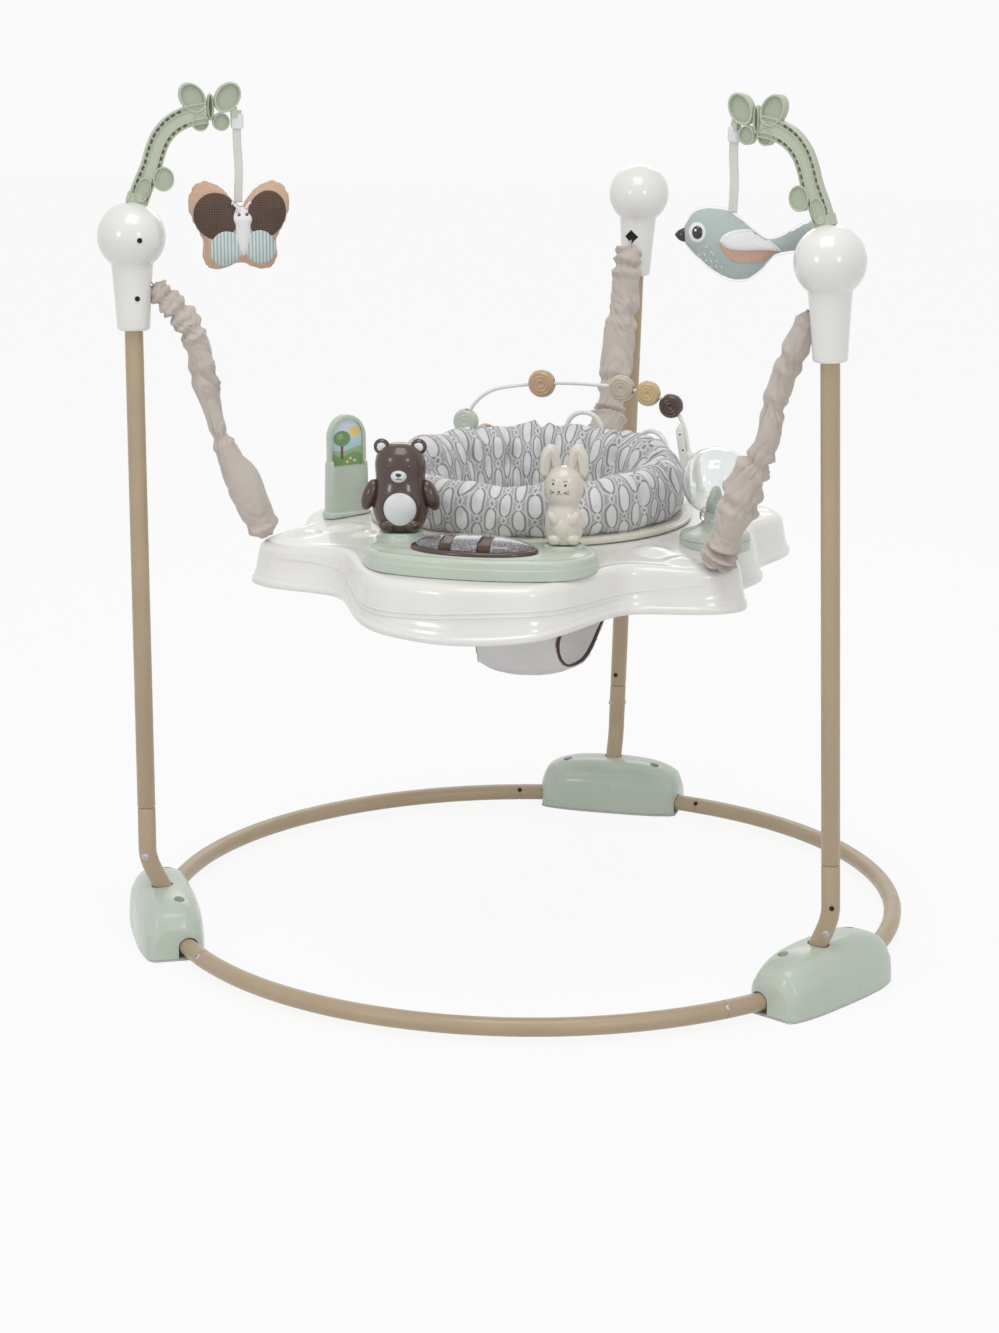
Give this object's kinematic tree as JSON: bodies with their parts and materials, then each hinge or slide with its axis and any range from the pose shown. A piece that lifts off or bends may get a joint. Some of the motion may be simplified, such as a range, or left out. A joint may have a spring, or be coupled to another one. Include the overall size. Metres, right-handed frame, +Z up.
{
  "type": "baby activity center",
  "caption": "Standing baby bouncer: a round play tray with a turning padded seat, hung on springs from the posts of a ring-shaped floor frame, with toys on the tray and hanging toys.",
  "frame": {"origin": "on the floor, under the middle of the whole object's box, between the feet", "axes": "+Z up, -Y towards the front of the tray with the keyboard, +X to the right seen from the front"},
  "size_m": [0.8416, 0.8614, 0.9071],
  "materials": {
    "taupe_paint": "satin",
    "sage_plastic": "gloss",
    "white_plastic": "gloss",
    "white_wire": "gloss",
    "cream_plastic": "gloss",
    "white_rubber": "matte",
    "taupe_fabric": "matte",
    "spring_steel": "satin",
    "brown_plastic": "gloss",
    "grey_plastic": "gloss",
    "clear_plastic": "gloss",
    "picture_print": "satin",
    "board_green": "matte",
    "black_plastic": "matte",
    "tan_plastic": "gloss",
    "beige_plastic": "gloss",
    "yellow_plastic": "gloss",
    "grey_print_fabric": "matte",
    "tan_plush": "matte",
    "blue_plush": "matte",
    "cream_ribbon": "matte"
  },
  "bodies": {
    "frame": {"base_arc_front": "taupe_paint", "base_arc_left": "taupe_paint", "base_arc_right": "taupe_paint", "lower_leg_left": "taupe_paint", "lower_leg_right": "taupe_paint", "lower_leg_back": "taupe_paint", "upper_leg_left": "taupe_paint", "upper_leg_right": "taupe_paint", "upper_leg_back": "taupe_paint", "foot_shell_left": "sage_plastic", "foot_shell_right": "sage_plastic", "foot_shell_back": "sage_plastic", "foot_pad_left": "white_rubber", "foot_pad_right": "white_rubber", "foot_pad_back": "white_rubber", "cap_left": "white_plastic", "cap_right": "white_plastic", "cap_back": "white_plastic", "toy_arch_left": "sage_plastic", "toy_arch_right": "sage_plastic", "spring_left": "spring_steel", "spring_right": "spring_steel", "spring_back": "spring_steel", "sleeve_left": "taupe_fabric", "sleeve_right": "taupe_fabric", "sleeve_back": "taupe_fabric"},
    "tray_group": {"tray": "white_plastic", "console_housing": "sage_plastic", "keyboard_bezel": "brown_plastic", "battery_door": "white_plastic", "circuit_board": "board_green", "speaker": "black_plastic", "tower_housing": "sage_plastic", "picture_window": "clear_plastic", "picture_card": "picture_print", "bead_wire": "white_wire", "link_loop_left": "white_plastic", "link_loop_right": "white_plastic", "dome_base": "sage_plastic", "spinner_post": "sage_plastic"},
    "seat": {"seat_ring": "cream_plastic", "seat_pad": "grey_print_fabric"},
    "key_left_body": {"key_left": "grey_plastic"},
    "key_middle_body": {"key_middle": "grey_plastic"},
    "key_right_body": {"key_right": "grey_plastic"},
    "dark_key_left_body": {"dark_key_left": "brown_plastic"},
    "dark_key_right_body": {"dark_key_right": "brown_plastic"},
    "bear_body": {"bear": "brown_plastic"},
    "bunny_body": {"bunny": "cream_plastic"},
    "bead_green_body": {"bead_green": "sage_plastic"},
    "bead_tan_body": {"bead_tan": "tan_plastic"},
    "bead_beige_body": {"bead_beige": "beige_plastic"},
    "bead_yellow_body": {"bead_yellow": "yellow_plastic"},
    "bead_brown_body": {"bead_brown": "brown_plastic"},
    "dome_body": {"dome_shell": "clear_plastic"},
    "spinner_body": {"spinner_wheel": "tan_plastic"},
    "butterfly_body": {"butterfly_ribbon": "cream_ribbon", "butterfly_plush": "tan_plush"},
    "bird": {"bird_ribbon": "cream_ribbon", "bird_body": "blue_plush"}
  },
  "joints": [
    {"name": "bounce", "type": "slide", "parent": "frame", "child": "tray_group", "axis": [0, 0, 1], "range_m": [-0.09, 0.015], "stiffness_N_per_m": 1200, "springref_m": 0.0251, "deforming": ["spring_left", "spring_right", "spring_back", "sleeve_left", "sleeve_right", "sleeve_back"]},
    {"name": "seat_spin", "type": "hinge", "parent": "tray_group", "child": "seat", "pos_m": [0, -0.022, 0.45], "axis": [0, 0, 1], "continuous": true},
    {"name": "key_left_press", "type": "slide", "parent": "tray_group", "child": "key_left_body", "axis": [0, 0, -1], "range_m": [0, 0.0025], "stiffness_N_per_m": 400, "springref_m": -0.0015},
    {"name": "key_middle_press", "type": "slide", "parent": "tray_group", "child": "key_middle_body", "axis": [0, 0, -1], "range_m": [0, 0.0025], "stiffness_N_per_m": 400, "springref_m": -0.0015},
    {"name": "key_right_press", "type": "slide", "parent": "tray_group", "child": "key_right_body", "axis": [0, 0, -1], "range_m": [0, 0.0025], "stiffness_N_per_m": 400, "springref_m": -0.0015},
    {"name": "dark_key_left_press", "type": "slide", "parent": "tray_group", "child": "dark_key_left_body", "axis": [0, 0, -1], "range_m": [0, 0.0025], "stiffness_N_per_m": 300, "springref_m": -0.001},
    {"name": "dark_key_right_press", "type": "slide", "parent": "tray_group", "child": "dark_key_right_body", "axis": [0, 0, -1], "range_m": [0, 0.0025], "stiffness_N_per_m": 300, "springref_m": -0.001},
    {"name": "bear_twist", "type": "hinge", "parent": "tray_group", "child": "bear_body", "pos_m": [-0.08573, -0.21917, 0.465], "axis": [0, 0, 1], "continuous": true},
    {"name": "bunny_twist", "type": "hinge", "parent": "tray_group", "child": "bunny_body", "pos_m": [0.08493, -0.21733, 0.459], "axis": [0, 0, 1], "continuous": true},
    {"name": "bead_green_slide", "type": "hinge", "parent": "tray_group", "child": "bead_green_body", "pos_m": [-0.07461, 0.173, 0.49789], "axis": [0, 1, 0], "range_deg": [0, 34]},
    {"name": "bead_tan_slide", "type": "hinge", "parent": "tray_group", "child": "bead_tan_body", "pos_m": [0, 0.173, 0.11], "axis": [0, 1, 0], "range_deg": [-5.4, 3.4]},
    {"name": "bead_beige_slide", "type": "hinge", "parent": "tray_group", "child": "bead_beige_body", "pos_m": [0, 0.173, 0.11], "axis": [0, 1, 0], "range_deg": [-3.7, 0]},
    {"name": "bead_yellow_slide", "type": "hinge", "parent": "tray_group", "child": "bead_yellow_body", "pos_m": [0, 0.173, 0.11], "axis": [0, 1, 0], "range_deg": [-3.7, 0]},
    {"name": "bead_brown_slide", "type": "hinge", "parent": "tray_group", "child": "bead_brown_body", "pos_m": [0.07461, 0.173, 0.49789], "axis": [0, 1, 0], "range_deg": [-30.3, 0]},
    {"name": "dome_spin", "type": "hinge", "parent": "tray_group", "child": "dome_body", "pos_m": [0.21626, -0.09731, 0.508], "axis": [0, 0, 1], "continuous": true},
    {"name": "spinner_spin", "type": "hinge", "parent": "tray_group", "child": "spinner_body", "pos_m": [-0.0981, 0.14999, 0.501], "axis": [-0.4955, 0.8686, 0], "continuous": true},
    {"name": "butterfly_swing", "type": "hinge", "parent": "frame", "child": "butterfly_body", "pos_m": [-0.2767, -0.15635, 0.879], "axis": [0.866, 0.5, 0], "range_deg": [-35, 35]},
    {"name": "bird_swing", "type": "hinge", "parent": "frame", "child": "bird", "pos_m": [0.24944, -0.2091, 0.879], "axis": [-0.9272, 0.3746, 0], "range_deg": [-20, 15]}
  ],
  "couplings": [
    {"joint": "bead_yellow_slide", "follows": "bead_beige_slide", "ratio": 1},
    {"joint": "bead_brown_slide", "follows": "bead_beige_slide", "ratio": 8.1818}
  ]
}
